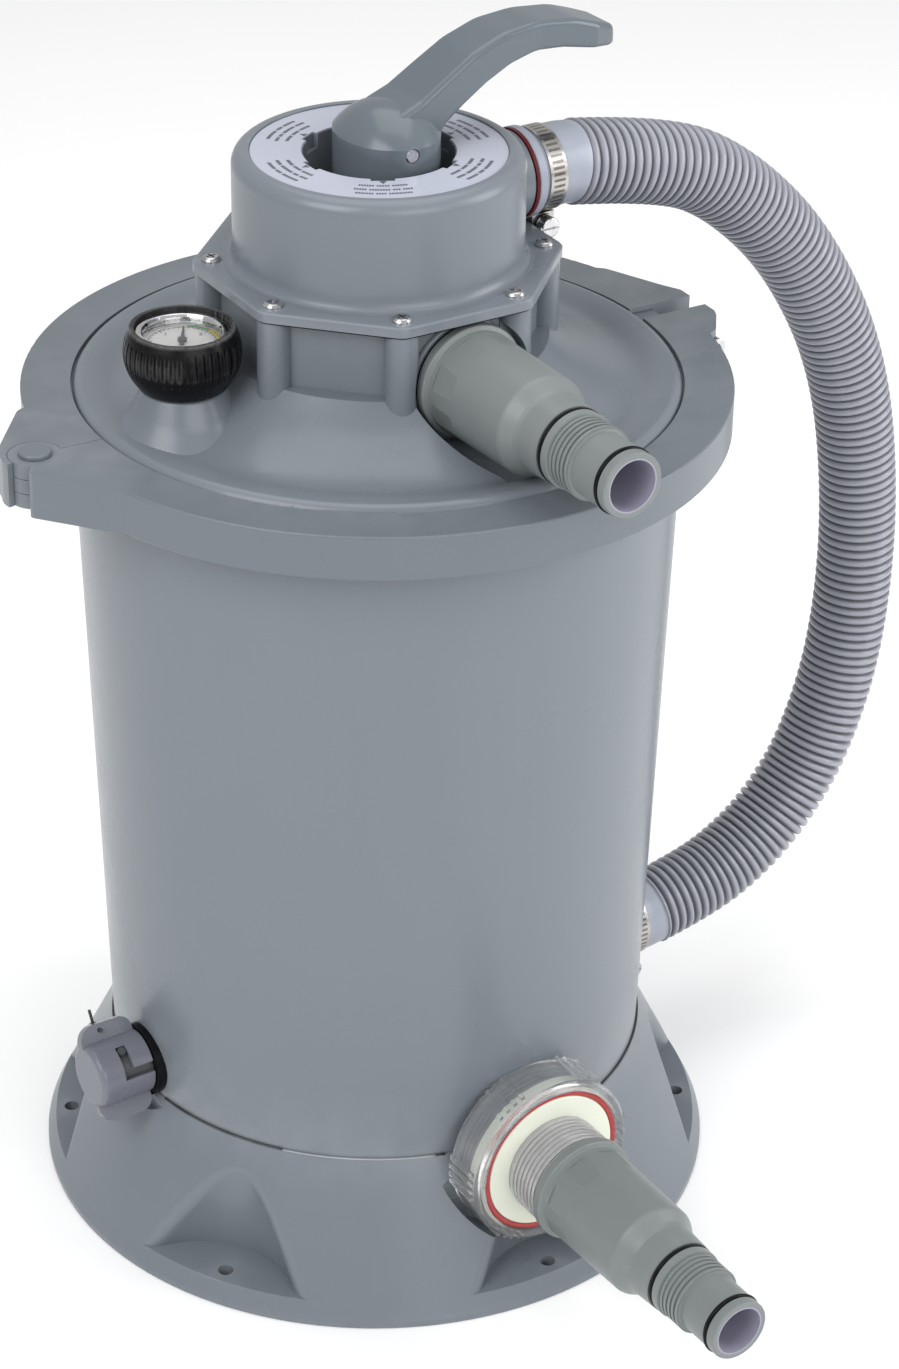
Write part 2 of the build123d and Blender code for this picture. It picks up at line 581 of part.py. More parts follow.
def make_gauge_boot():
    """Barrel-shaped rubber boot with upright ribs and a parting ring."""
    body = turned((8, 0.6), (21.5, 0), (31.6, 14.5, 24), (25, 29.5), (22.6, 29.5), (22.6, 2.9), (8, 2.9))
    outline = [(26.6, -0.5), (34, -1.2), (34, 1.2), (26.6, 0.5)]
    low_groove = slab(outline, 2.5, 10.2)
    high_groove = slab(outline, 11.6, 27.5)
    angles = [360 / BOOT_RIBS * i for i in range(BOOT_RIBS)]
    return at_gauge(body - around(low_groove, angles) - around(high_groove, angles))


def make_gauge_bezel():
    return at_gauge(turned((18.6, 25), (22.5, 25), (22.5, 27.6, 0.8), (19.4, 27.2, 0.4), (18.6, 26)))


def make_gauge_dial():
    return at_gauge(rod(20.4, 20, 20.8))


def make_gauge_lens():
    return at_gauge(rod(20.4, 23.6, 24.9))


def make_gauge_needle():
    """Pointer drawn at zero, aiming away from the grip side of the front."""
    blade = slab([(-5, -1.1), (0, -1.1), (15.5, -0.25), (15.5, 0.25), (0, 1.1), (-5, 1.1)], 21.4, 21.9)
    boss = rod(2.2, 21.1, 22.6)
    return at_gauge(Rot(0, 0, 58) * (blade + boss))


# ---------------------------------------------------------------- adaptors for the pool hoses
def adaptor_form():
    """Threaded-on reducer with a hose tail; built along +Z from its collar face."""
    body = turned(
        (NIPPLE_R + 0.2, 0), (28.4, 0, 0.8), (28.4, 5, 1), (26.2, 6, 0.5), (26, 8), (25, 62, 5), (21, 68.5, 3),
        (20.3, 71), (19.4, 85), (17.4, 85), (17.4, 88), (19, 88), (19, 92), (17.6, 92.5),
        (17.2, 107), (HOSE_TAIL_R, 107.5), (HOSE_TAIL_R, 125), (14.8, 125), (14.8, 128), (HOSE_TAIL_R, 128),
        (HOSE_TAIL_R, ADAPTOR_LENGTH, 0.8), (ADAPTOR_BORE_R, ADAPTOR_LENGTH), (ADAPTOR_BORE_R, 76),
        (17, 64), (17, ADAPTOR_SOCKET), (NIPPLE_R + 0.2, ADAPTOR_SOCKET))
    barbs = [ring(15, 18.2, z, z + 1.5) for z in (93.5, 96.5, 99.5, 102.5, 105.5)]
    flat = box(-9, 9, 25.1, 30, 9, 24)
    return joined([body, *barbs]) - around(flat, [22.5 + 45 * i for i in range(8)])


def make_adaptor(height, start):
    return facing(-90, height) * (Pos(0, 0, start) * adaptor_form())


def make_adaptor_o_rings(height, start):
    rings = [torus_ring(19.3, 1.9, 86.5), torus_ring(16.7, 1.9, 126.5)]
    return [facing(-90, height) * (Pos(0, 0, start) * one) for one in rings]


def make_port_gaskets():
    return [facing(side, TOP_PORT_Z) * ring(NIPPLE_R + 0.1, 27.2, 75.5, TOP_ADAPTOR_AT) for side in (-90, 90)]


def make_waste_cap():
    cap = turned((NIPPLE_R + 0.2, TOP_ADAPTOR_AT + 0.1), (26.5, TOP_ADAPTOR_AT + 0.1, 1), (26.5, 96, 2), (0, 96),
                 (0, 92), (NIPPLE_R + 0.2, 92))
    rib = box(25.5, 27.6, -1.6, 1.6, TOP_ADAPTOR_AT + 3, 93)
    return facing(90, TOP_PORT_Z) * (cap + around(rib, [30 * i for i in range(12)]))


# ---------------------------------------------------------------- lower union with its sight tube
def make_crossover_pipe():
    """Carries water under the tank's floor, from the lower union to the lower hose port."""
    neck = turned((0, 0), (20, 0), (20, 118), (27, 124), (27, 142.9), (40, 142.9), (40, 157.6), (0, 157.6))
    neck = facing(-90, BOTTOM_PORT_Z) * neck
    threads = [facing(-90, BOTTOM_PORT_Z) * ring(39, 40.7, z, z + 1.4) for z in (146, 149, 152, 155)]
    branch = turned((0, 0), (19, 0), (19, 128), (22, 132), (22, LOWER_HOSE_AT, 1), (0, LOWER_HOSE_AT))
    branch = facing(0, LOWER_HOSE_Z) * branch
    knuckle = Pos(0, 0, 74.6) * Sphere(23)
    pipe = joined([neck, branch, knuckle, *threads])
    bores = [facing(-90, BOTTOM_PORT_Z) * rod(16, 0, 160), facing(0, LOWER_HOSE_Z) * rod(15, 0, 155),
             Pos(0, 0, 74.6) * Sphere(19)]
    for bore in bores:
        pipe = pipe - bore
    return pipe


def make_union_flange():
    flange = turned((26.1, 157.8), (42, 157.8), (42, 163), (37.5, 163), (37.5, 167, 0.8), (26.1, 167))
    return facing(-90, BOTTOM_PORT_Z) * flange


def make_union_seal():
    return facing(-90, BOTTOM_PORT_Z) * turned((37.6, 163.1), (40.6, 163.1), (40.6, 167, 1.2), (37.6, 167, 1.2))


def make_sight_tube():
    tube = turned((14, 157.8), (26, 157.8), (26, BOTTOM_ADAPTOR_AT), (NIPPLE_R, BOTTOM_ADAPTOR_AT),
                  (NIPPLE_R, BOTTOM_ADAPTOR_AT + ADAPTOR_SOCKET - 1), (14, BOTTOM_ADAPTOR_AT + ADAPTOR_SOCKET - 1))
    threads = [ring(25, 27, z, z + 1.3) for z in (170, 173, 176, 179, 182, 185, 188)]
    return facing(-90, BOTTOM_PORT_Z) * joined([tube, *threads])


def make_union_nut():
    """Clear collar nut with grip ribs in groups of four."""
    nut = turned((42.4, 143.6), (46.5, 143.6, 1.5), (46.5, 166, 2), (44.8, 168.2, 0.8), (41, 168.2),
                 (41, 163.4), (42.4, 163.4))
    rib = box(45.8, 48.3, -1.1, 1.1, 145, 164.5)
    angles = [60 * group + 6 * rib_index - 9 for group in range(6) for rib_index in range(4)]
    return facing(-90, BOTTOM_PORT_Z) * (nut + around(rib, angles))


# ---------------------------------------------------------------- hose, its tails and clamps
def make_hose_tail(height, start):
    tail = turned((12, start + 1.8), (22.8, start + 1.8, 0.8), (22.8, start + 6.5, 0.8), (TAIL_R, start + 6.5),
                  (TAIL_R, start + 18), (14.5, start + 20), (12, start + 20))
    return facing(0, height) * tail


def make_tail_gasket(height, start):
    return facing(0, height) * ring(14, 22.6, start, start + 1.8)


def cuff(height, start, hose_end, hose_next):
    """Smooth end sleeve of the hose; it leans from the port's axis into the hose's first stretch."""
    x, _, z = hose_end
    slope = (hose_next[2] - z) / (hose_next[0] - x)
    corner = (x - (z - height) / slope, 0, height)
    path = FilletPolyline((start + 7, 0, height), corner, hose_end, radius=CUFF_BEND)
    section = Plane(origin=path @ 0, z_dir=path % 0) * (Circle(CUFF_R) - Circle(TAIL_R + FIT))
    return sweep(section, path=path)


def make_hose_cuffs():
    upper = cuff(UPPER_HOSE_Z, UPPER_HOSE_AT, HOSE_ROUTE[0], HOSE_ROUTE[1])
    lower = cuff(LOWER_HOSE_Z, LOWER_HOSE_AT, HOSE_ROUTE[-1], HOSE_ROUTE[-2])
    return [upper, lower]


def bend_radii(route):
    """Arc radius at each inner point: 0.45 of the shorter run over the tangent of half the turn."""
    points = [Vector(*p) for p in route]
    radii = []
    for before, here, after in zip(points, points[1:], points[2:]):
        arriving = here - before
        leaving = after - here
        half_turn = radians(arriving.get_angle(leaving)) / 2
        radii.append(0.45 * min(arriving.length, leaving.length) / tan(half_turn))
    return radii


def make_hose():
    radii = bend_radii(HOSE_ROUTE)
    path = FilletPolyline(*HOSE_ROUTE, radius=radii)
    section = Plane(origin=path @ 0, z_dir=path % 0) * (Circle(HOSE_R) - Circle(HOSE_R - HOSE_WALL))
    tube = sweep(section, path=path)
    expected = pi * (HOSE_R**2 - (HOSE_R - HOSE_WALL) ** 2) * path.length
    print("hose radii", [round(r) for r in radii])
    print("hose length", round(path.length, 1), "volume over section x length", round(tube.volume / expected, 4))
    return tube


def make_clamp_band(height, start):
    """Worm-drive band and the housing of its screw, under the hose."""
    middle = start + 14
    band = facing(0, height) * ring(CUFF_R + 0.05, CUFF_R + 1.0, middle - 5, middle + 5)
    bottom = height - CUFF_R - 1.0
    housing = box(middle - 6.5, middle + 6.5, -8, 8, bottom - 9.5, bottom + 0.6)
    housing = fillet(housing.edges().filter_by(Axis.Y).group_by(Axis.Z)[0], 4)
    saddle = facing(0, height) * rod(CUFF_R + 0.5, middle - 20, middle + 20)
    bore = Pos(middle, 0, bottom - 5) * (Rot(90, 0, 0) * Cylinder(3.7, 40))
    return band + (housing - saddle) - bore


def make_clamp_screw(height, start):
    middle = start + 14
    z = height - CUFF_R - 6.0
    head = turned((0, -15.5), (5.2, -15.5, 0.8), (5.2, -9.5), (0, -9.5))
    slot = box(-6, 6, -0.6, 0.6, -16, -13.8)
    worm = joined([rod(2.8, -10, 9), *[ring(2.5, 3.4, y, y + 0.9) for y in (-7, -4.6, -2.2, 0.2, 2.6, 5)]])
    return Pos(middle, 0, z) * (Rot(-90, 0, 0) * (head - slot + worm))


# ---------------------------------------------------------------- drain
def drain_piece(shape):
    return facing(180, DRAIN_Z) * shape


def tilted_drain_piece(shape):
    """The cap, its tie and the spigot's lugs, which sit turned a little from upright."""
    return facing(180, DRAIN_Z) * (Rot(0, 0, DRAIN_TILT) * shape)


def make_drain_gasket():
    tank = turned((0, 60), (shell_radius(60), 60), (shell_radius(130), 130), (0, 130))
    skirt_edge = box(-143.1, -120, -30, 30, 60, SEAM_Z + 0.1)
    return drain_piece(ring(14.3, 19.5, 138, DRAIN_CAP_AT - 0.6)) - tank - skirt_edge


def make_drain_elbow():
    upright = Pos(-116, 0, 0) * (rod(13, 83, FLOOR_Z) - rod(9, 87, FLOOR_Z + 1))
    level = drain_piece(rod(13, 116, 132))
    elbow = upright + level - drain_piece(rod(9, 112, 133)) - Pos(-116, 0, 0) * rod(9, 87, FLOOR_Z + 1)
    return elbow


def lug_angles():
    """The spigot's two lugs: one on the near side, raised by 35 degrees, and one opposite."""
    return [35, 215]


def make_drain_spigot():
    tube = turned((9, 132), (14.2, 132), (14.2, 168, 1), (9, 168))
    lug = Rot(0, 90, 0) * Cylinder(2.3, 3.2)
    lugs = [Rot(0, 0, angle) * (Pos(15.1, 0, 160) * lug) for angle in lug_angles()]
    return tilted_drain_piece(joined([tube, *lugs]))


def make_drain_cap():
    """Bayonet cap with two finger tabs; each lug rests at the end of an L-shaped slot."""
    end = DRAIN_CAP_AT + DRAIN_CAP_LENGTH
    wall = turned((14.6, DRAIN_CAP_AT), (DRAIN_CAP_R, DRAIN_CAP_AT), (DRAIN_CAP_R, end, 3), (0, end), (0, end - 3),
                  (14.6, end - 3))
    tab = extrude(make_face(FilletPolyline((15, DRAIN_CAP_AT), (25.5, DRAIN_CAP_AT), (26, end), (15, end),
                                           radius=[0, 7, 9, 0], close=True)), 2.5, both=True)
    tab = Rot(90, 0, 0) * tab
    tabs = [Rot(0, 0, angle) * tab for angle in (90, 270)]
    cap = joined([wall, *tabs]) - rod(14.6, DRAIN_CAP_AT - 1, end - 3)
    entry = box(13, 18, -2.8, 2.8, DRAIN_CAP_AT - 1, 162.8)
    sweep_steps = [Rot(0, 0, DRAIN_TURN / 9 * i) * box(13, 18, -2.8, 2.8, 157.2, 162.8) for i in range(10)]
    track = joined([entry, *sweep_steps])
    cuts = [Rot(0, 0, angle - DRAIN_TURN) * track for angle in lug_angles()]
    for cut in cuts:
        cap = cap - cut
    hole = Pos(0, 22, 0) * (Rot(0, 90, 0) * Cylinder(1.2, 12))
    return tilted_drain_piece(cap - Pos(0, 0, 164) * hole)


def make_drain_tether():
    """Nylon tie through the upper tab, with its cut tail standing up."""
    loop = Pos(0, 22, 164) * (Rot(0, 90, 0) * Cylinder(1.1, 8.5))
    head = box(-5.2, -2.6, 20, 26, 162.5, 165.5)
    tail = Pos(-3.9, 29, 164) * (Rot(90, 0, 0) * Cylinder(0.8, 8))
    return tilted_drain_piece(loop + head + tail)


# ---------------------------------------------------------------- write every sub-part
def build_all():
    return {
        "base_skirt": make_base_skirt(),
        "tank_shell": make_tank_shell(),
        "sand_bed": make_sand_bed(),
        "lateral_hub": make_lateral_hub(),
        "laterals": make_laterals(),
        "standpipe": make_standpipe(),
        "diffuser": make_diffuser(),
        "lid_seal": make_lid_seal(),
        "lid_dome": make_lid_dome(),
        "clamp_front_half": make_clamp_half(True),
        "clamp_rear_half": make_clamp_half(False),
        "clamp_hinge_pin": make_clamp_hinge_pin(),
        "clamp_bolt": make_clamp_bolt(),
        "clamp_nut": make_clamp_nut(),
        "cover_gasket": make_cover_gasket(),
        "valve_cover": make_valve_cover(),
        "cover_screws": make_cover_screws(),
        "valve_label": make_valve_label(),
        "valve_rotor": make_valve_rotor(),
        "rotor_gasket": make_rotor_gasket(),
        "rotor_spring": make_rotor_spring(),
        "stem_o_rings": make_stem_o_rings(),
        "cam_washer": make_cam_washer(),
        "valve_handle": make_valve_handle(),
        "handle_pin": make_handle_pin(),
        "gauge_stem": make_gauge_stem(),
        "gauge_case": make_gauge_case(),
        "gauge_boot": make_gauge_boot(),
        "gauge_bezel": make_gauge_bezel(),
        "gauge_dial": make_gauge_dial(),
        "gauge_lens": make_gauge_lens(),
        "gauge_needle": make_gauge_needle(),
        "top_adaptor": make_adaptor(TOP_PORT_Z, TOP_ADAPTOR_AT),
        "top_adaptor_o_rings": make_adaptor_o_rings(TOP_PORT_Z, TOP_ADAPTOR_AT),
        "port_gaskets": make_port_gaskets(),
        "waste_cap": make_waste_cap(),
        "crossover_pipe": make_crossover_pipe(),
        "union_flange": make_union_flange(),
        "union_seal": make_union_seal(),
        "sight_tube": make_sight_tube(),
        "union_nut": make_union_nut(),
        "bottom_adaptor": make_adaptor(BOTTOM_PORT_Z, BOTTOM_ADAPTOR_AT),
        "bottom_adaptor_o_rings": make_adaptor_o_rings(BOTTOM_PORT_Z, BOTTOM_ADAPTOR_AT),
        "upper_hose_tail": make_hose_tail(UPPER_HOSE_Z, UPPER_HOSE_AT),
        "upper_tail_gasket": make_tail_gasket(UPPER_HOSE_Z, UPPER_HOSE_AT),
        "lower_hose_tail": make_hose_tail(LOWER_HOSE_Z, LOWER_HOSE_AT),
        "lower_tail_gasket": make_tail_gasket(LOWER_HOSE_Z, LOWER_HOSE_AT),
        "hose_cuffs": make_hose_cuffs(),
        "hose": make_hose(),
        "upper_clamp_band": make_clamp_band(UPPER_HOSE_Z, UPPER_HOSE_AT),
        "upper_clamp_screw": make_clamp_screw(UPPER_HOSE_Z, UPPER_HOSE_AT),
        "lower_clamp_band": make_clamp_band(LOWER_HOSE_Z, LOWER_HOSE_AT),
        "lower_clamp_screw": make_clamp_screw(LOWER_HOSE_Z, LOWER_HOSE_AT),
        "drain_elbow": make_drain_elbow(),
        "drain_spigot": make_drain_spigot(),
        "drain_gasket": make_drain_gasket(),
        "drain_cap": make_drain_cap(),
        "drain_tether": make_drain_tether(),
    }


def as_one_shape(made):
    return Compound(children=list(made)) if isinstance(made, list) else made


os.makedirs("parts", exist_ok=True)
for node, made in build_all().items():
    export_step(as_one_shape(made), f"parts/{node}.step")
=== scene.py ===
# %% [markdown]
# # A sand filter tank for a small pool
# The tank is moulded plastic: a skirted base, a tapered shell, a lid held down by a band clamp, and a valve
# with a lever on top. A ribbed hose loops from the valve to the base. The solid pieces were drawn in CAD and
# keep their exact shape here. This lesson gives them their surfaces, and models the few pieces whose fine
# shape CAD leaves plain: the ribbed hose, the printed dial and the printed label.

# %% Load the frame
import bpy
import bmesh
from math import cos, pi, radians, sin
from mathutils import Matrix, Vector


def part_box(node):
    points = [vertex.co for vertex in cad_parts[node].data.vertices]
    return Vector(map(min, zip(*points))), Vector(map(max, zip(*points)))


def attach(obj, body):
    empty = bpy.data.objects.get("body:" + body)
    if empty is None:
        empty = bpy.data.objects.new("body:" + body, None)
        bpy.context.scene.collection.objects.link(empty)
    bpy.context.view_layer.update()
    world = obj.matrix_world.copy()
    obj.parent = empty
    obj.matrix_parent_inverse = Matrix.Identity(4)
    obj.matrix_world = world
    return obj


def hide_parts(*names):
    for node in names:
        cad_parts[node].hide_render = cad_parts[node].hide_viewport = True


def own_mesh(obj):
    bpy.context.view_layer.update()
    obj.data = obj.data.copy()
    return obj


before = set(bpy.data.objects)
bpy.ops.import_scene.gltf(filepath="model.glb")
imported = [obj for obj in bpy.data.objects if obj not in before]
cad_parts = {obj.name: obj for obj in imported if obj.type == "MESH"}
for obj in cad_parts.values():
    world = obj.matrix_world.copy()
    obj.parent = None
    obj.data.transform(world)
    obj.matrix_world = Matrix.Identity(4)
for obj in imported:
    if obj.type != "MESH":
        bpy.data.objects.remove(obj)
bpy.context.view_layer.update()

# %% [markdown]
# The camera comes first, since every later choice is judged through it. It looks down at thirty degrees from
# the front left, with a long lens, so upright lines stay nearly parallel. A rotation matrix is built from the
# three directions of the view, which is easier to read than three Euler angles with a small roll on top.

# %% Camera
HEADING = radians(56)
PITCH = radians(30.0)
ROLL = radians(0.93)
EYE = Vector((-0.8569, -1.3375, 1.1937))

forward = Vector((cos(HEADING) * cos(PITCH), sin(HEADING) * cos(PITCH), -sin(PITCH)))
level_right = forward.cross(Vector((0, 0, 1))).normalized()
level_up = level_right.cross(forward)
right = level_right * cos(ROLL) + level_up * sin(ROLL)
up = level_up * cos(ROLL) - level_right * sin(ROLL)
camera = bpy.data.objects.new("camera", bpy.data.cameras.new("camera"))
bpy.context.scene.collection.objects.link(camera)
camera.data.sensor_width = 36
camera.data.lens = 93.41
camera.data.clip_start = 0.05
camera.matrix_world = Matrix.Translation(EYE) @ Matrix((right, up, -forward)).transposed().to_4x4()
bpy.context.scene.camera = camera
print("camera looks along", tuple(round(v, 3) for v in forward))

# %% [markdown]
# The hose is a blown corrugated tube. Its line is a smooth curve through a handful of control points: a spline
# of order three rounds each corner the way a hose does. A plain bevelled curve would give a smooth pipe, so the
# ribs are made in mesh code: rings of points ride along the line, and each ring's radius follows a rounded wave.

# %% Hose line
HOSE_ROUTE = [
    (0.111, 0, 0.5406), (0.1695, 0, 0.5306), (0.213, 0, 0.508), (0.262, 0, 0.460), (0.303, 0, 0.386),
    (0.3195, 0, 0.295), (0.3175, 0, 0.208), (0.299, 0, 0.146), (0.272, 0, 0.109), (0.243, 0, 0.088),
    (0.213, 0, 0.0775), (0.184, 0, 0.0732)]
HOSE_DIAMETER = 0.043


def line_through(name, route):
    """Points along a smooth spline that starts and ends at the route's ends."""
    curve = bpy.data.curves.new(name, "CURVE")
    curve.dimensions = "3D"
    curve.resolution_u = 24
    spline = curve.splines.new("NURBS")
    spline.points.add(len(route) - 1)
    for point, place in zip(spline.points, route):
        point.co = (*place, 1)
    spline.order_u = 3
    spline.use_endpoint_u = True
    holder = bpy.data.objects.new(name, curve)
    bpy.context.scene.collection.objects.link(holder)
    bpy.context.view_layer.update()
    mesh = bpy.data.meshes.new_from_object(holder)
    points = [v.co.copy() for v in mesh.vertices]
    bpy.data.objects.remove(holder)
    return points


def evenly_spaced(points, step):
    """The same line with points a fixed step apart; returns points and the line's length."""
    lengths = [0.0]
    for a, b in zip(points, points[1:]):
        lengths.append(lengths[-1] + (b - a).length)
    total = lengths[-1]
    count = round(total / step)
    result = []
    index = 0
    for i in range(count + 1):
        along = total * i / count
        while index < len(lengths) - 2 and lengths[index + 1] < along:
            index += 1
        span = lengths[index + 1] - lengths[index]
        share = (along - lengths[index]) / span if span else 0
        result.append(points[index].lerp(points[index + 1], share))
    return result, total


RIB_PITCH = 0.0053
STEPS_PER_RIB = 10
hose_line, hose_length = evenly_spaced(line_through("hose_line", HOSE_ROUTE), RIB_PITCH / STEPS_PER_RIB)
print("hose length", round(hose_length, 4), "m in", len(hose_line), "steps")

# %% Ribbed hose
RIB_DEPTH = 0.0034


def object_from(name, bm, smooth=True):
    mesh = bpy.data.meshes.new(name)
    bm.to_mesh(mesh)
    bm.free()
    for polygon in mesh.polygons:
        polygon.use_smooth = smooth
    made = bpy.data.objects.new(name, mesh)
    bpy.context.scene.collection.objects.link(made)
    return made


def ribbed_tube(name, points, radius, depth, sides=48):
    """A tube of round-backed ribs with narrow dips between them, and a point weight that marks the dips for
    painted shade; the line lies in the XZ plane.
    """
    bm = bmesh.new()
    rings = []
    for i, centre in enumerate(points):
        ahead = points[min(i + 1, len(points) - 1)]
        behind = points[max(i - 1, 0)]
        along = (ahead - behind).normalized()
        side = Vector((0, 1, 0))
        out = along.cross(side).normalized()
        from_crest = abs(2 * (i / STEPS_PER_RIB % 1) - 1)
        swell = radius - depth * (1 - (1 - from_crest ** 2) ** 0.5)
        ring = []
        for k in range(sides):
            angle = 2 * pi * k / sides
            ring.append(bm.verts.new(centre + (out * cos(angle) + side * sin(angle)) * swell))
        rings.append(ring)
    for low, high in zip(rings, rings[1:]):
        for k in range(sides):
            n = (k + 1) % sides
            bm.faces.new((low[k], low[n], high[n], high[k]))
    bm.faces.new(rings[0][::-1])
    bm.faces.new(rings[-1])
    bmesh.ops.recalc_face_normals(bm, faces=bm.faces)
    tube = object_from(name, bm)
    # A point weight marks the rib valleys, where the hose colour gets painted shade.
    valley_shade_mask = tube.data.attributes.new("valley_shade_mask", "FLOAT", "POINT")
    for i in range(len(points)):
        from_crest = abs(2 * (i / STEPS_PER_RIB % 1) - 1)
        for k in range(sides):
            valley_shade_mask.data[i * sides + k].value = from_crest ** 2
    return tube


hose = ribbed_tube("ribbed_hose", hose_line, HOSE_DIAMETER / 2, RIB_DEPTH)
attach(hose, "tank")
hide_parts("hose")
print("hose faces", len(hose.data.polygons))

# %% [markdown]
# Several finishes share the same small effects: a fine moulded skin, paler edges that are partly wear and partly
# a painted highlight, dust that settles on upward faces, and a few specks. Each effect is a shader node group
# with named inputs, so a material can place it with its own values. The groups put out only colours and masks
# that vary over the surface.

# %% Helpers for shader groups


class Wiring:
    """Adds nodes to a tree and links them in one call."""

    def __init__(self, tree):
        self.tree = tree

    def node(self, kind, values=None, **settings):
        made = self.tree.nodes.new(kind)
        for key, value in settings.items():
            setattr(made, key, value)
        for socket, value in (values or {}).items():
            if hasattr(value, "is_output"):
                self.tree.links.new(value, made.inputs[socket])
            else:
                made.inputs[socket].default_value = value
        return made

    def math(self, operation, first, second=0.0):
        return self.node("ShaderNodeMath", {0: first, 1: second}, operation=operation).outputs[0]

    def spread(self, value, low, high, new_low=0.0, new_high=1.0):
        ranged = self.node("ShaderNodeMapRange", {"Value": value, "From Min": low, "From Max": high,
                                                  "To Min": new_low, "To Max": new_high})
        return ranged.outputs["Result"]

    def mix(self, share, first, second, blend="MIX"):
        node = self.tree.nodes.new("ShaderNodeMix")
        node.data_type = "RGBA"
        node.blend_type = blend
        for socket, value in ((0, share), (6, first), (7, second)):
            if hasattr(value, "is_output"):
                self.tree.links.new(value, node.inputs[socket])
            else:
                node.inputs[socket].default_value = value
        return node.outputs[2]


def new_group(name, inputs, outputs):
    """An empty group with its sockets; returns its wiring, its inputs and a function that sets an output."""
    tree = bpy.data.node_groups.new(name, "ShaderNodeTree")
    for label, kind, value in inputs:
        socket = tree.interface.new_socket(label, in_out="INPUT", socket_type=kind)
        socket.default_value = value
    for label, kind in outputs:
        tree.interface.new_socket(label, in_out="OUTPUT", socket_type=kind)
    wires = Wiring(tree)
    source = tree.nodes.new("NodeGroupInput")
    sink = tree.nodes.new("NodeGroupOutput")

    def give(label, value):
        tree.links.new(value, sink.inputs[label])

    return tree, wires, source.outputs, give


FLOAT, COLOUR = "NodeSocketFloat", "NodeSocketColor"

# %% Group: moulded skin
skin_group, w, given, give = new_group(
    "moulded_skin",
    [("Colour", COLOUR, (0.3, 0.3, 0.3, 1)), ("Mottle", FLOAT, 0.05), ("Grain Size", FLOAT, 900.0),
     ("Gloss Low", FLOAT, 0.38), ("Gloss High", FLOAT, 0.5)],
    [("Colour", COLOUR), ("Roughness", FLOAT), ("Height", FLOAT)])
place = w.node("ShaderNodeTexCoord").outputs["Object"]
broad = w.node("ShaderNodeTexNoise", {"Vector": place, "Scale": 9.0, "Detail": 3.0}).outputs["Fac"]
flow_space = w.node("ShaderNodeMapping", {"Vector": place, "Scale": (60, 60, 5)}).outputs[0]
flow = w.node("ShaderNodeTexNoise", {"Vector": flow_space, "Scale": 1.0, "Detail": 2.0}).outputs["Fac"]
fine = w.node("ShaderNodeTexNoise", {"Vector": place, "Scale": given["Grain Size"], "Detail": 4.0}).outputs["Fac"]
mottled = w.math("ADD", w.math("SUBTRACT", broad, 0.5), w.math("MULTIPLY", w.math("SUBTRACT", flow, 0.5), 0.6))
factor = w.math("ADD", w.math("MULTIPLY", w.math("MULTIPLY", mottled, given["Mottle"]), 2.0), 1.0)
grey = w.node("ShaderNodeCombineColor", {"Red": factor, "Green": factor, "Blue": factor}).outputs[0]
give("Colour", w.mix(1.0, given["Colour"], grey, "MULTIPLY"))
gloss = w.node("ShaderNodeMapRange", {"Value": broad, "From Min": 0.3, "From Max": 0.7,
                                      "To Min": given["Gloss Low"], "To Max": given["Gloss High"]})
give("Roughness", gloss.outputs["Result"])
give("Height", fine)
print("group", skin_group.name)

# %% Group: worn edges and painted edge highlight
edge_group, w, given, give = new_group(
    "worn_and_highlight_edges", [("Amount", FLOAT, 0.4), ("Start", FLOAT, 0.53), ("End", FLOAT, 0.6)], [("Mask", FLOAT)])
# Convex edges turn paler: partly rubbing wear, partly a painted highlight along the edges.
bend = w.node("ShaderNodeNewGeometry").outputs["Pointiness"]
place = w.node("ShaderNodeTexCoord").outputs["Object"]
patchy = w.node("ShaderNodeTexNoise", {"Vector": place, "Scale": 70.0, "Detail": 5.0}).outputs["Fac"]
sharp = w.node("ShaderNodeMapRange", {"Value": bend, "From Min": given["Start"], "From Max": given["End"]})
mask = w.math("MULTIPLY", sharp.outputs["Result"], w.spread(patchy, 0.35, 0.6, 0.35, 1.0))
give("Mask", w.math("MULTIPLY", mask, given["Amount"]))
print("group", edge_group.name)

# %% Group: settled dust
dust_group, w, given, give = new_group("settled_dust", [("Amount", FLOAT, 0.15)], [("Mask", FLOAT)])
normal = w.node("ShaderNodeNewGeometry").outputs["Normal"]
upward = w.node("ShaderNodeSeparateXYZ", {"Vector": normal}).outputs["Z"]
place = w.node("ShaderNodeTexCoord").outputs["Object"]
cloudy = w.node("ShaderNodeTexNoise", {"Vector": place, "Scale": 26.0, "Detail": 6.0}).outputs["Fac"]
mask = w.math("MULTIPLY", w.spread(upward, 0.2, 1.0), w.spread(cloudy, 0.35, 0.75))
give("Mask", w.math("MULTIPLY", mask, given["Amount"]))
print("group", dust_group.name)

# %% Group: specks
speck_group, w, given, give = new_group(
    "specks", [("Spacing", FLOAT, 60.0), ("Size", FLOAT, 0.03)], [("Mask", FLOAT)])
place = w.node("ShaderNodeTexCoord").outputs["Object"]
cells = w.node("ShaderNodeTexVoronoi", {"Vector": place, "Scale": given["Spacing"]}, feature="F1")
near = w.math("LESS_THAN", cells.outputs["Distance"], given["Size"])
chosen = w.node("ShaderNodeSeparateColor", {"Color": cells.outputs["Color"]}).outputs["Red"]
give("Mask", w.math("MULTIPLY", near, w.math("GREATER_THAN", chosen, 0.8)))
print("group", speck_group.name)

# %% [markdown]
# The body is a satin grey plastic with a hint of blue. Its colour is nearly even, so the interest is in the
# light: a soft sheen, edges a little paler (partly rubbing wear, partly a painted highlight), and a faint dust on
# the ledges. One function makes every moulded plastic from its colour and a few amounts, and the Principled
# shader stays in the material.

# %% Moulded plastics
ADAPTOR_BORES = ((0.481, 0.0773), 0.0131)


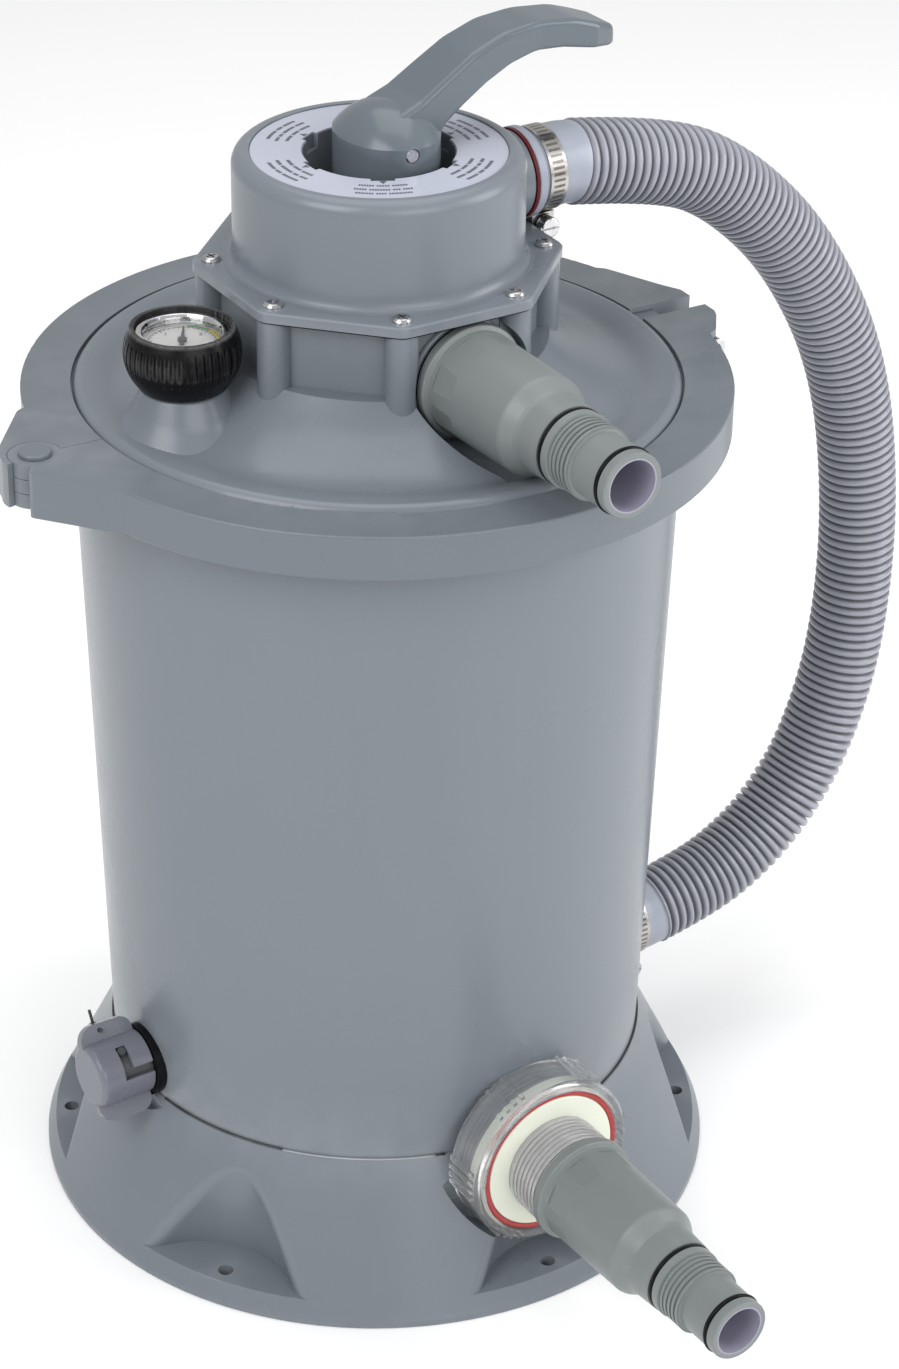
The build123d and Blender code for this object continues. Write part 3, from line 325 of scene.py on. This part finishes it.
def start_material(name):
    made = bpy.data.materials.new(name)
    made.use_nodes = True
    shader = made.node_tree.nodes["Principled BSDF"]
    return made, Wiring(made.node_tree), shader


def place_group(wires, group, values=None):
    node = wires.node("ShaderNodeGroup", node_tree=group)
    for socket, value in (values or {}).items():
        node.inputs[socket].default_value = value
    return node.outputs


def connect(wires, shader, socket, value):
    wires.tree.links.new(value, shader.inputs[socket])


def bump(wires, shader, height, strength, distance):
    node = wires.node("ShaderNodeBump", {"Height": height, "Strength": strength, "Distance": distance})
    connect(wires, shader, "Normal", node.outputs[0])


def lifted(colour, amount):
    return tuple(c + (1 - c) * amount for c in colour[:3]) + (1,)


def inside_bores(wires, heights, radius):
    """One inside a bore that lies along Y at one of the heights, and zero outside."""
    place = wires.node("ShaderNodeTexCoord").outputs["Object"]
    axes = wires.node("ShaderNodeSeparateXYZ", {"Vector": place}).outputs
    nearest = None
    for height in heights:
        across = wires.math("POWER", axes["X"], 2.0)
        upright = wires.math("POWER", wires.math("SUBTRACT", axes["Z"], height), 2.0)
        distance = wires.math("SQRT", wires.math("ADD", across, upright))
        nearest = distance if nearest is None else wires.math("MINIMUM", nearest, distance)
    return wires.math("LESS_THAN", nearest, radius)


def moulded(name, colour, mottle=0.03, gloss=(0.36, 0.48), grain=900.0, depth=0.00003, wear_and_highlight=0.10, dust=0.03,
            specks=0.0, sheen=0.0, bores=None, valley_shade=0.0, shine=0.5):
    made, wires, shader = start_material(name)
    skin = place_group(wires, skin_group, {"Colour": (*colour, 1), "Mottle": mottle, "Grain Size": grain,
                                           "Gloss Low": gloss[0], "Gloss High": gloss[1]})
    edges = place_group(wires, edge_group, {"Amount": wear_and_highlight})["Mask"]
    dusty = place_group(wires, dust_group, {"Amount": dust})["Mask"]
    # Paler colour on the edges: wear and a painted edge highlight.
    shade = wires.mix(edges, skin["Colour"], lifted(colour, 0.45))
    shade = wires.mix(dusty, shade, lifted(colour, 0.35))
    # Painted shade in the hose's rib valleys: the colour darkens where the valley shade mask is high.
    if valley_shade:
        valley_shade_mask = wires.node("ShaderNodeAttribute", attribute_name="valley_shade_mask").outputs["Fac"]
        shade = wires.mix(wires.math("MULTIPLY", valley_shade_mask, valley_shade), shade, tuple(c * 0.15 for c in colour) + (1,))
    if bores:
        shade = wires.mix(inside_bores(wires, *bores), shade, (0.30, 0.29, 0.37, 1))
    if specks:
        spots = place_group(wires, speck_group, {"Spacing": 55.0, "Size": specks})["Mask"]
        shade = wires.mix(spots, shade, lifted(colour, 0.7))
    connect(wires, shader, "Base Color", shade)
    connect(wires, shader, "Roughness", wires.math("ADD", skin["Roughness"], wires.math("MULTIPLY", dusty, 0.6)))
    bump(wires, shader, skin["Height"], 0.25, depth)
    shader.inputs["Sheen Weight"].default_value = sheen
    shader.inputs["Specular IOR Level"].default_value = shine
    shader.inputs["IOR"].default_value = 1.46
    return made


body_grey = moulded("body_grey", (0.150, 0.171, 0.196), gloss=(0.22, 0.32))
base_grey = moulded("base_grey", (0.150, 0.170, 0.195), gloss=(0.24, 0.34), specks=0.03)
clamp_grey = moulded("clamp_grey", (0.126, 0.146, 0.167), gloss=(0.24, 0.34))
handle_grey = moulded("handle_grey", (0.105, 0.127, 0.146), gloss=(0.18, 0.26))
adaptor_grey = moulded("adaptor_grey", (0.165, 0.183, 0.182), gloss=(0.34, 0.44), bores=ADAPTOR_BORES)
# The hose darkens in its rib valleys as painted shade.
hose_grey = moulded("hose_lilac", (0.295, 0.302, 0.350), gloss=(0.24, 0.34), wear_and_highlight=0.3, dust=0.0, valley_shade=0.9)
cuff_grey = moulded("cuff_lilac", (0.300, 0.325, 0.385), gloss=(0.25, 0.35))
flash_grey = moulded("flash_grey", (0.30, 0.32, 0.34), mottle=0.3)
dark_plastic = moulded("dark_plastic", (0.035, 0.038, 0.042), gloss=(0.3, 0.42))
inner_white = moulded("inner_white", (0.72, 0.72, 0.69), wear_and_highlight=0.1)
cream = moulded("cream_plastic", (0.72, 0.75, 0.64), gloss=(0.3, 0.42), wear_and_highlight=0.05)
pale_washer = moulded("washer_cream", (0.62, 0.58, 0.36), gloss=(0.3, 0.42), wear_and_highlight=0.1)
print("plastics ready")

# %% [markdown]
# Rubber is black, but never flat black: it has a dull bloom and a slightly uneven gloss. The same moulded
# function serves, with a dark colour, a stronger skin and a lower specular level.

# %% Rubbers
black_rubber = moulded("black_rubber", (0.005, 0.005, 0.006), gloss=(0.20, 0.32), depth=0.00006, wear_and_highlight=0.0,
                       dust=0.0, shine=0.12)
# The boot's paler rib crests are a painted highlight: grey crests against black grooves.
boot_rubber = moulded("boot_rubber", (0.005, 0.005, 0.006), gloss=(0.20, 0.32), depth=0.00006, wear_and_highlight=0.3,
                      dust=0.0, shine=0.15)
red_rubber = moulded("red_rubber", (0.42, 0.035, 0.035), gloss=(0.35, 0.45), wear_and_highlight=0.1)
dark_red_rubber = moulded("dark_red_rubber", (0.10, 0.010, 0.012), gloss=(0.35, 0.45), wear_and_highlight=0.0, shine=0.2)
black_nylon = moulded("black_nylon", (0.014, 0.014, 0.015), gloss=(0.28, 0.4), wear_and_highlight=0.1)
print("rubbers ready")

# %% [markdown]
# Metal needs something to reflect and a texture that has a direction. Fine scratches come from noise that is
# stretched along one axis; the band clamps also have the slots that the worm screw drives in, with the shade
# inside them painted dark.

# %% Metals


BANDS = ((0.091, 0.5415), (0.165, 0.072))
SLOT_COUNT = 44


def band_slot_shade(wires):
    """Mask of the painted shade in the cuts across both bands: even stripes around each band's axis, kept off its
    rims.
    """
    place = wires.node("ShaderNodeTexCoord").outputs["Object"]
    axes = wires.node("ShaderNodeSeparateXYZ", {"Vector": place}).outputs
    total = None
    for middle, height in BANDS:
        upright = wires.math("SUBTRACT", axes["Z"], height)
        around = wires.math("ARCTAN2", axes["Y"], upright)
        stripe = wires.math("GREATER_THAN", wires.math("SINE", wires.math("MULTIPLY", around, SLOT_COUNT)), 0.1)
        off_centre = wires.math("ABSOLUTE", wires.math("SUBTRACT", axes["X"], middle))
        slot = wires.math("MULTIPLY", stripe, wires.math("LESS_THAN", off_centre, 0.0033))
        total = slot if total is None else wires.math("MAXIMUM", total, slot)
    return total


def metal(name, colour, gloss, stretch, depth=0.00002, slot_shade=False):
    made, wires, shader = start_material(name)
    place = wires.node("ShaderNodeTexCoord").outputs["Object"]
    space = wires.node("ShaderNodeMapping", {"Vector": place, "Scale": stretch}).outputs[0]
    lines = wires.node("ShaderNodeTexNoise", {"Vector": space, "Scale": 1.0, "Detail": 5.0}).outputs["Fac"]
    cloud = wires.node("ShaderNodeTexNoise", {"Vector": place, "Scale": 90.0, "Detail": 4.0}).outputs["Fac"]
    # Metal edges turn paler too: wear and a painted edge highlight.
    edges = place_group(wires, edge_group, {"Amount": 0.3})["Mask"]
    dark = tuple(c * 0.72 for c in colour) + (1,)
    shade = wires.mix(wires.spread(cloud, 0.35, 0.7), dark, (*colour, 1))
    if slot_shade:
        # The shade inside the band slots is painted in as a dark brown.
        shade = wires.mix(band_slot_shade(wires), shade, (0.07, 0.05, 0.035, 1))
    connect(wires, shader, "Base Color", wires.mix(edges, shade, lifted(colour, 0.3)))
    connect(wires, shader, "Roughness", wires.spread(lines, 0.3, 0.7, gloss[0], gloss[1]))
    shader.inputs["Metallic"].default_value = 1.0
    bump(wires, shader, lines, 0.3, depth)
    return made


screw_steel = metal("screw_steel", (0.62, 0.62, 0.63), (0.16, 0.34), (900, 900, 900))
band_steel = metal("band_steel", (0.50, 0.485, 0.46), (0.22, 0.38), (60, 1500, 1500), slot_shade=True)
chrome = metal("chrome_rim", (0.85, 0.85, 0.87), (0.05, 0.14), (400, 400, 400), 0.000005)
brass = metal("turned_brass", (0.62, 0.45, 0.18), (0.2, 0.35), (200, 200, 2500))
print("metals ready")

# %% [markdown]
# The union nut, the sight tube and the gauge lens are clear. Glass-like pieces keep plain metallic and
# transmission values on the shader, and get their life from faint scratches in roughness and bump.

# %% Clear and cloudy plastics


def clear(name, colour, gloss, transmission, depth=0.00003, streak=(40, 40, 40)):
    made, wires, shader = start_material(name)
    place = wires.node("ShaderNodeTexCoord").outputs["Object"]
    space = wires.node("ShaderNodeMapping", {"Vector": place, "Scale": streak}).outputs[0]
    cloud = wires.node("ShaderNodeTexNoise", {"Vector": space, "Scale": 1.0, "Detail": 5.0}).outputs["Fac"]
    tint = wires.mix(wires.spread(cloud, 0.3, 0.7), tuple(c * 0.9 for c in colour) + (1,), (*colour, 1))
    connect(wires, shader, "Base Color", tint)
    connect(wires, shader, "Roughness", wires.spread(cloud, 0.35, 0.7, gloss[0], gloss[1]))
    shader.inputs["Transmission Weight"].default_value = transmission
    shader.inputs["IOR"].default_value = 1.42
    bump(wires, shader, cloud, 0.2, depth)
    return made


clear_nut = clear("clear_nut", (0.93, 0.94, 0.95), (0.06, 0.16), 0.92)
clear_tube = clear("clear_tube", (0.82, 0.82, 0.82), (0.08, 0.18), 0.6)
lens_clear = clear("lens_clear", (1.0, 1.0, 1.0), (0.01, 0.03), 1.0, 0.000001)
cloudy_cap = clear("cloudy_cap", (0.17, 0.178, 0.215), (0.2, 0.32), 0.1)
print("clear plastics ready")

# %% [markdown]
# Sand is hidden in use, but anyone who takes the part apart sees it. It is a granular surface: cells of
# slightly different colours, with the same cells as height.

# %% Sand, label film and dial card
sand, w, shader = start_material("filter_sand")
place = w.node("ShaderNodeTexCoord").outputs["Object"]
grains = w.node("ShaderNodeTexVoronoi", {"Vector": place, "Scale": 900.0})
tone = w.node("ShaderNodeSeparateColor", {"Color": grains.outputs["Color"]}).outputs["Green"]
connect(w, shader, "Base Color", w.mix(tone, (0.42, 0.33, 0.20, 1), (0.66, 0.56, 0.38, 1)))
connect(w, shader, "Roughness", w.spread(tone, 0, 1, 0.7, 0.9))
bump(w, shader, grains.outputs["Distance"], 0.6, 0.0004)

label_film = moulded("label_film", (0.40, 0.42, 0.50), gloss=(0.2, 0.3), wear_and_highlight=0.0, dust=0.0)
label_ink = moulded("label_ink", (0.075, 0.08, 0.10), gloss=(0.25, 0.35), wear_and_highlight=0.0, dust=0.0)
dial_white = moulded("dial_white", (0.86, 0.86, 0.85), gloss=(0.3, 0.4), wear_and_highlight=0.0, dust=0.0, mottle=0.02)
dial_black = moulded("dial_black", (0.02, 0.02, 0.02), gloss=(0.3, 0.4), wear_and_highlight=0.0, dust=0.0)
dial_green = moulded("dial_green", (0.10, 0.42, 0.10), gloss=(0.3, 0.4), wear_and_highlight=0.0, dust=0.0)
dial_yellow = moulded("dial_yellow", (0.82, 0.66, 0.06), gloss=(0.3, 0.4), wear_and_highlight=0.0, dust=0.0)
dial_red = moulded("dial_red", (0.66, 0.07, 0.06), gloss=(0.3, 0.4), wear_and_highlight=0.0, dust=0.0)
dial_pink = moulded("dial_pink", (0.70, 0.22, 0.24), gloss=(0.3, 0.4), wear_and_highlight=0.0, dust=0.0)
print("sand and prints ready")

# %% [markdown]
# Each CAD node now gets its finish. A table of finish to node names keeps the choice in one place, and makes
# it plain which pieces share a material.

# %% Finish every CAD node
FINISHES = {
    body_grey: ["tank_shell", "lid_dome", "valve_cover", "waste_cap", "crossover_pipe"],
    base_grey: ["base_skirt"],
    clamp_grey: ["clamp_front_half", "clamp_rear_half", "clamp_hinge_pin"],
    handle_grey: ["valve_handle"],
    adaptor_grey: ["top_adaptor", "bottom_adaptor"],
    cuff_grey: ["hose_cuffs", "upper_hose_tail", "lower_hose_tail"],
    hose_grey: ["hose"],
    inner_white: ["valve_rotor", "lateral_hub", "laterals", "standpipe", "diffuser", "drain_elbow"],
    dark_plastic: ["drain_spigot"],
    cream: ["union_flange"],
    pale_washer: ["cam_washer"],
    boot_rubber: ["gauge_boot"],
    black_rubber: ["top_adaptor_o_rings", "bottom_adaptor_o_rings", "port_gaskets", "cover_gasket",
                   "rotor_gasket", "stem_o_rings", "drain_gasket", "lid_seal"],
    red_rubber: ["union_seal"],
    dark_red_rubber: ["upper_tail_gasket", "lower_tail_gasket"],
    black_nylon: ["drain_tether", "gauge_needle"],
    screw_steel: ["cover_screws", "handle_pin", "clamp_bolt", "clamp_nut", "rotor_spring", "gauge_case",
                  "upper_clamp_screw", "lower_clamp_screw"],
    band_steel: ["upper_clamp_band", "lower_clamp_band"],
    chrome: ["gauge_bezel"],
    brass: ["gauge_stem"],
    clear_nut: ["union_nut"],
    clear_tube: ["sight_tube"],
    lens_clear: ["gauge_lens"],
    cloudy_cap: ["drain_cap"],
    label_film: ["valve_label"],
    dial_white: ["gauge_dial"],
    sand: ["sand_bed"],
}


def finish(piece, material):
    piece.data.materials.clear()
    piece.data.materials.append(material)


for material, names in FINISHES.items():
    for name in names:
        finish(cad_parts[name], material)
finish(hose, hose_grey)
print("finished", sum(len(n) for n in FINISHES.values()), "nodes of", len(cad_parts))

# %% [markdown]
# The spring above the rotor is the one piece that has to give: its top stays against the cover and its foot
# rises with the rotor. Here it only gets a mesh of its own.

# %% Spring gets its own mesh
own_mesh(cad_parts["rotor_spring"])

# %% [markdown]
# The label is a silver ring around the lever. It carries six positions: an arrowhead that points at the well
# and three short rows of print. The real words are not copied; the rows are plain bars, bent to the ring's
# curve. Each bar is a thin solid, a tenth of a millimetre proud of the film.

# %% Printed rows and arrowheads on the label
LABEL_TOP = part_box("valve_label")[1].z
PRINT_HEIGHT = 0.0001


def arc_bar(bm, centre, radius, width, start, end, low, high):
    """A bar bent to a circle: inner and outer walls with a flat top."""
    steps = max(2, int(abs(end - start) / radians(1.2)))
    sections = []
    for i in range(steps + 1):
        a = start + (end - start) * i / steps
        way = Vector((cos(a), sin(a), 0))
        sections.append([bm.verts.new(centre + way * (radius + side * width / 2) + Vector((0, 0, z)))
                         for side, z in ((-1, low), (1, low), (1, high), (-1, high))])
    for a, b in zip(sections, sections[1:]):
        for k in range(4):
            n = (k + 1) % 4
            bm.faces.new((a[k], a[n], b[n], b[k]))
    bm.faces.new(sections[0])
    bm.faces.new(sections[-1][::-1])


def prism(bm, corners, low, high):
    bottom = [bm.verts.new((x, y, low)) for x, y in corners]
    top = [bm.verts.new((x, y, high)) for x, y in corners]
    bm.faces.new(bottom[::-1])
    bm.faces.new(top)
    for k in range(len(corners)):
        n = (k + 1) % len(corners)
        bm.faces.new((bottom[k], bottom[n], top[n], top[k]))


ROWS = [(0.0549, [7, 4, 9]), (0.0503, [5, 8, 3, 4]), (0.0454, [6, 5, 6])]
bm = bmesh.new()
for position in range(6):
    middle = radians(60 * position)
    for radius, words in ROWS:
        letter = 0.00125 / radius
        total = sum(words) * letter + (len(words) - 1) * letter * 0.8
        at = middle - total / 2
        for count in words:
            for k in range(count):
                arc_bar(bm, Vector((0, 0, 0)), radius, 0.0017, at + k * letter, at + (k + 0.68) * letter,
                        LABEL_TOP, LABEL_TOP + PRINT_HEIGHT)
            at += count * letter + letter * 0.8
    tip = Vector((cos(middle), sin(middle), 0))
    across = Vector((-sin(middle), cos(middle), 0))
    corners = [tip * 0.0430, tip * 0.0396 + across * 0.0018, tip * 0.0396 - across * 0.0018]
    prism(bm, [(c.x, c.y) for c in corners], LABEL_TOP, LABEL_TOP + PRINT_HEIGHT)
bmesh.ops.recalc_face_normals(bm, faces=bm.faces)
label_print = object_from("label_print", bm, smooth=False)
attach(label_print, "tank")
finish(label_print, label_ink)
print("label print faces", len(label_print.data.polygons))

# %% [markdown]
# The gauge's dial is a white card with a scale. Green, yellow and red arcs mark the working range, ticks mark
# the steps, and plain numbers name them. Numbers are text objects turned into meshes, which keeps them crisp
# at any size.

# %% Gauge dial print
GAUGE_CENTRE = Vector((-0.1095, 0, 0))
DIAL_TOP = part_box("gauge_dial")[1].z
TOP_OF_DIAL = radians(58)
SWEEP = radians(135)


def dial_angle(share):
    """Angle of a scale value from zero at the lower left to one at the lower right."""
    return TOP_OF_DIAL + SWEEP - share * 2 * SWEEP


def dial_print(name, material, build):
    bm = bmesh.new()
    build(bm)
    bmesh.ops.recalc_face_normals(bm, faces=bm.faces)
    made = object_from(name, bm, smooth=False)
    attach(made, "tank")
    finish(made, material)
    return made


def scale_arc(radius, width, first, last):
    def build(bm):
        arc_bar(bm, GAUGE_CENTRE, radius, width, dial_angle(first), dial_angle(last), DIAL_TOP,
                DIAL_TOP + PRINT_HEIGHT)
    return build


def scale_ticks(bm):
    for i in range(31):
        a = dial_angle(i / 30)
        way = Vector((cos(a), sin(a), 0))
        side = Vector((-sin(a), cos(a), 0))
        long_tick = i % 5 == 0
        half = 0.00022 if long_tick else 0.00012
        inner = 0.0142 if long_tick else 0.0150
        corners = [GAUGE_CENTRE + way * inner + side * half, GAUGE_CENTRE + way * 0.0163 + side * half,
                   GAUGE_CENTRE + way * 0.0163 - side * half, GAUGE_CENTRE + way * inner - side * half]
        prism(bm, [(c.x, c.y) for c in corners], DIAL_TOP, DIAL_TOP + PRINT_HEIGHT)
    arc_bar(bm, GAUGE_CENTRE, 0.0163, 0.00028, dial_angle(0), dial_angle(1), DIAL_TOP, DIAL_TOP + PRINT_HEIGHT)


dial_print("dial_scale", dial_black, scale_ticks)
dial_print("dial_green_arc", dial_green, scale_arc(0.0178, 0.0016, 0.52, 0.66))
dial_print("dial_yellow_arc", dial_yellow, scale_arc(0.0178, 0.0016, 0.66, 0.82))
dial_print("dial_red_arc", dial_red, scale_arc(0.0178, 0.0016, 0.82, 1.0))
dial_print("dial_pink_arc", dial_pink, scale_arc(0.0178, 0.0016, 0.03, 0.16))


def dial_number(text, share, radius=0.0118, size=0.0042):
    curve = bpy.data.curves.new("dial_number", "FONT")
    curve.body = text
    curve.size = size
    curve.align_x = "CENTER"
    curve.align_y = "CENTER"
    curve.extrude = PRINT_HEIGHT / 2
    holder = bpy.data.objects.new("dial_number", curve)
    bpy.context.scene.collection.objects.link(holder)
    a = dial_angle(share)
    place = GAUGE_CENTRE + Vector((cos(a) * radius, sin(a) * radius, DIAL_TOP + PRINT_HEIGHT / 2))
    holder.matrix_world = Matrix.Translation(place) @ Matrix.Rotation(TOP_OF_DIAL - pi / 2, 4, "Z")
    bpy.context.view_layer.update()
    mesh = bpy.data.meshes.new_from_object(holder)
    mesh.transform(holder.matrix_world)
    bpy.data.objects.remove(holder)
    made = bpy.data.objects.new("dial_number_" + text.replace(".", "_"), mesh)
    bpy.context.scene.collection.objects.link(made)
    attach(made, "tank")
    finish(made, dial_black)
    return made


for number, share in (("0", 0), ("1", 1 / 3), ("2", 2 / 3), ("3", 1)):
    dial_number(number, share)
print("dial printed")

# %% [markdown]
# Where the shell stands in the base there is a fine dark line: the two mouldings never meet perfectly, and the
# narrow gap between them lies in shade. That shade is painted as a thin dark ring just proud of the surface, left
# out where the drain and the lower union cross it. Part of the front shows a paler thread of moulding flash
# instead.

# %% Seam between base and shell: painted shadow line and flash
SEAM_RADIUS = 0.14235
bm = bmesh.new()
for start, end in ((-70, 170), (187, 218), (250, 252)):
    arc_bar(bm, Vector((0, 0, 0)), SEAM_RADIUS - 0.0002, 0.0012, radians(start), radians(end), 0.0787, 0.0794)
bmesh.ops.recalc_face_normals(bm, faces=bm.faces)
seam_shadow = object_from("seam_shadow_line", bm)
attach(seam_shadow, "tank")
# The painted seam shadow takes the black nylon finish.
finish(seam_shadow, black_nylon)
bm = bmesh.new()
arc_bar(bm, Vector((0, 0, 0)), SEAM_RADIUS - 0.0002, 0.0013, radians(218), radians(250), 0.0787, 0.0792)
bmesh.ops.recalc_face_normals(bm, faces=bm.faces)
flash = object_from("seam_flash", bm)
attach(flash, "tank")
finish(flash, flash_grey)
print("seam ready")

# %% [markdown]
# Plain surroundings show a plastic body best: a pale floor, one broad light from the upper left, a weaker one
# from the right and a soft sky. Broad lights give the long soft highlights that satin plastic should have.

# %% Floor and lights
bm = bmesh.new()
bmesh.ops.create_grid(bm, x_segments=2, y_segments=2, size=6)
floor = object_from("floor", bm, smooth=False)
floor.location.z = -0.0005
floor_paint, w, shader = start_material("floor_paint")
place = w.node("ShaderNodeTexCoord").outputs["Object"]
cloud = w.node("ShaderNodeTexNoise", {"Vector": place, "Scale": 2.0, "Detail": 3.0}).outputs["Fac"]
connect(w, shader, "Base Color", w.mix(cloud, (0.95, 0.95, 0.95, 1), (0.98, 0.98, 0.98, 1)))
connect(w, shader, "Roughness", w.spread(cloud, 0, 1, 0.7, 0.8))
finish(floor, floor_paint)


def soft_light(name, place, target, size, power, colour=(1, 1, 1)):
    light = bpy.data.lights.new(name, "AREA")
    light.shape = "RECTANGLE"
    light.size, light.size_y = size
    light.energy = power
    light.color = colour
    holder = bpy.data.objects.new(name, light)
    bpy.context.scene.collection.objects.link(holder)
    aim = (Vector(target) - Vector(place)).to_track_quat("-Z", "Y")
    holder.matrix_world = Matrix.Translation(place) @ aim.to_matrix().to_4x4()
    return holder


soft_light("key", (-2.2, -0.6, 2.3), (0, 0, 0.3), (1.8, 1.8), 48)
soft_light("front", (-0.2, -2.8, 1.6), (0, 0, 0.3), (2.2, 1.6), 32)
soft_light("right", (1.9, -1.3, 1.2), (0, 0, 0.3), (1.2, 1.6), 30)
soft_light("top", (0.3, 0.4, 2.6), (0, 0, 0.4), (2.0, 2.0), 22)
world = bpy.data.worlds.new("sky")
bpy.context.scene.world = world
world.use_nodes = True
world.node_tree.nodes["Background"].inputs["Color"].default_value = (1, 1, 1, 1)
world.node_tree.nodes["Background"].inputs["Strength"].default_value = 0.55
bpy.context.scene.view_settings.view_transform = "Standard"
print("lights ready")
